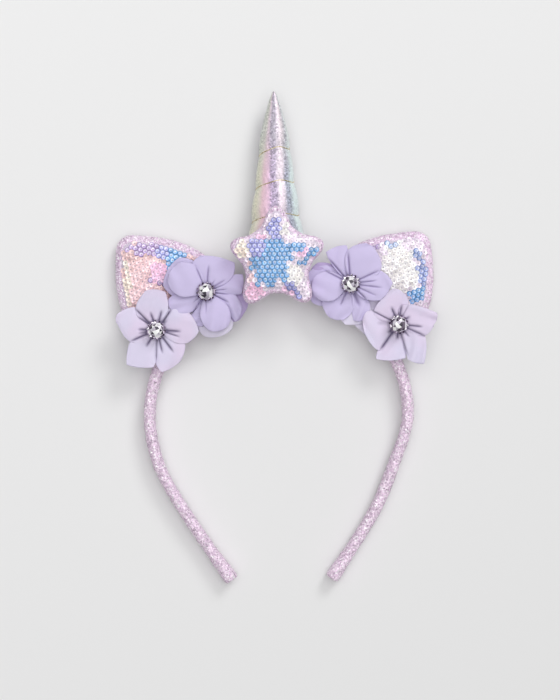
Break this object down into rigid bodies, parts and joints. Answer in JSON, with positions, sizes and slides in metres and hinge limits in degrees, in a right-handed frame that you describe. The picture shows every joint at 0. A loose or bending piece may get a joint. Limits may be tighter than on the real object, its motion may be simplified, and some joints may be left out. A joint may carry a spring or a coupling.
{
  "type": "unicorn horn headband",
  "caption": "Arched padded headband with a stuffed spiral horn, a sequined star, two sequined ears and fabric flowers with cut stones, lying on its back.",
  "frame": {"origin": "on the surface that the part lies on, below the middle of its bounding box", "axes": "+Y from the band's ends to the horn's tip, +X to the right as the flowers are looked at, +Z from the surface up to the flowers"},
  "size_m": [0.157, 0.238, 0.0323],
  "materials": {
    "glitter_cloth": "lilac-pink glitter cloth, padded, matt ground with silver and white sparkle",
    "glitter_edge": "pink-lilac glitter knit of the ear and star edging",
    "lilac_felt": "pale lilac felt",
    "silver_foil_cloth": "silver holographic foil cloth, fine grain, rainbow sheen",
    "sequin_cloth": "net with iridescent two-way sequins, blue and pearl pink",
    "chiffon": "lilac chiffon, matt, cut edges",
    "ribbon": "pale lilac satin ribbon, soft sheen",
    "rhinestone": "clear smoky lilac cut stone",
    "plated_setting": "bright plated, dark in the recesses"
  },
  "bodies": {
    "root": {"band": "glitter_cloth", "end_wrap_left": "glitter_cloth", "end_wrap_right": "glitter_cloth", "backing_left": "lilac_felt", "backing_right": "lilac_felt", "horn": "silver_foil_cloth", "star": "glitter_edge", "star_panel": "sequin_cloth", "ear_left": "glitter_edge", "ear_panel_left": "sequin_cloth", "ear_right": "glitter_edge", "ear_panel_right": "sequin_cloth", "flower_inner_left_back": "chiffon", "flower_inner_left_front": "chiffon", "flower_inner_right_back": "chiffon", "flower_inner_right_front": "chiffon", "flower_outer_left": "ribbon", "flower_outer_right": "ribbon", "setting_inner_left": "plated_setting", "stone_inner_left": "rhinestone", "setting_inner_right": "plated_setting", "stone_inner_right": "rhinestone", "setting_outer_left": "plated_setting", "stone_outer_left": "rhinestone", "setting_outer_right": "plated_setting", "stone_outer_right": "rhinestone"}
  },
  "joints": []
}
